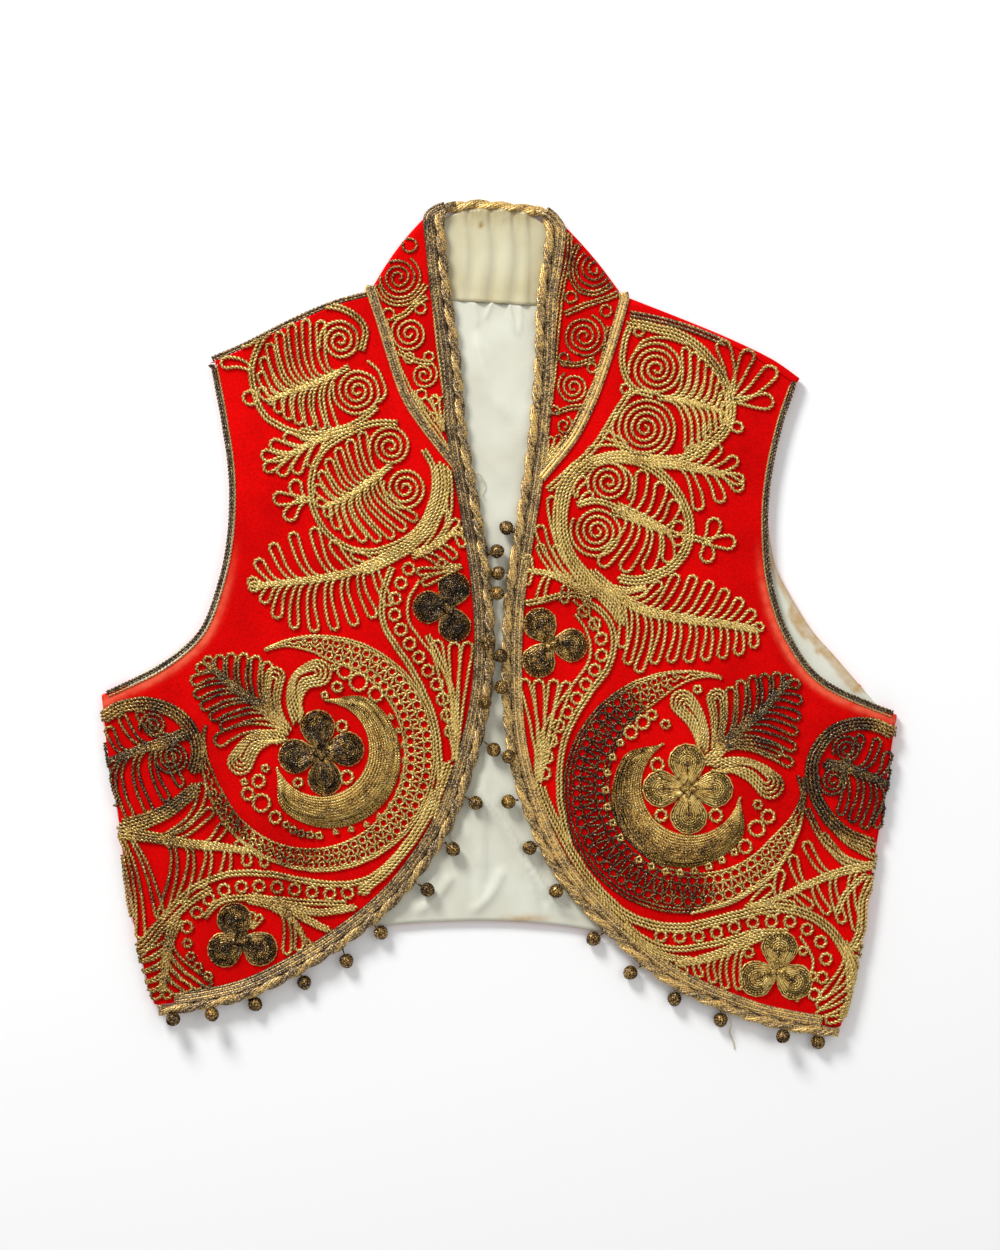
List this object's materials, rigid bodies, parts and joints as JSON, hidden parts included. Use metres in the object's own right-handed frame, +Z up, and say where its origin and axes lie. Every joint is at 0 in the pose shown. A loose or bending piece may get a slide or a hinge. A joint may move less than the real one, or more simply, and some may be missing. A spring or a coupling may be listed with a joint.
{
  "type": "embroidered vest",
  "caption": "Short red velvet folk vest laid flat, with couched gold cord embroidery, a stand collar, satin lining, rope and braid edging and thread ball buttons.",
  "frame": {"origin": "middle of the vest's footprint on the surface it lies on", "axes": "+X towards the wearer's left, +Y from the hem to the collar, +Z up off the surface, out of the fronts"},
  "size_m": [0.4356, 0.4664, 0.0182],
  "materials": {
    "velvet": "cotton velvet, short pile, worn paler along the armholes",
    "satin": "silk satin, soft sheen, creased",
    "gold": "gilt metal thread twisted round a cotton core, bright",
    "aged_gold": "gilt metal thread, dulled",
    "dark_gold": "gilt metal thread, tarnished nearly black"
  },
  "bodies": {
    "root": {"armhole_cord_left": "dark_gold", "armhole_cord_right": "dark_gold", "back": "velvet", "band_left": "aged_gold", "band_right": "aged_gold", "button_left_01": "dark_gold", "button_left_02": "dark_gold", "button_left_03": "dark_gold", "button_left_04": "dark_gold", "button_left_05": "dark_gold", "button_left_06": "dark_gold", "button_left_07": "dark_gold", "button_left_08": "dark_gold", "button_left_09": "dark_gold", "button_left_10": "dark_gold", "button_left_11": "dark_gold", "button_left_12": "dark_gold", "button_left_13": "dark_gold", "button_left_14": "dark_gold", "button_right_01": "dark_gold", "button_right_02": "dark_gold", "button_right_03": "dark_gold", "button_right_04": "dark_gold", "button_right_05": "dark_gold", "button_right_06": "dark_gold", "button_right_07": "dark_gold", "button_right_08": "dark_gold", "button_right_09": "dark_gold", "button_right_10": "dark_gold", "button_right_11": "dark_gold", "button_right_12": "dark_gold", "button_right_13": "dark_gold", "button_right_14": "dark_gold", "collar": "velvet", "collar_cord_left": "gold", "collar_cord_right": "gold", "collar_lining": "satin", "flower_left_centre": "gold", "flower_left_chest": "dark_gold", "flower_left_corner": "gold", "flower_right_centre": "dark_gold", "flower_right_chest": "dark_gold", "flower_right_corner": "dark_gold", "front_left": "velvet", "front_right": "velvet", "lining": "satin", "moon_left": "gold", "moon_right": "gold", "rope_left": "aged_gold", "rope_neck": "aged_gold", "rope_right": "aged_gold", "shoulder_cord_left": "aged_gold", "shoulder_cord_right": "aged_gold", "shoulder_turn_left": "velvet"}
  },
  "joints": []
}
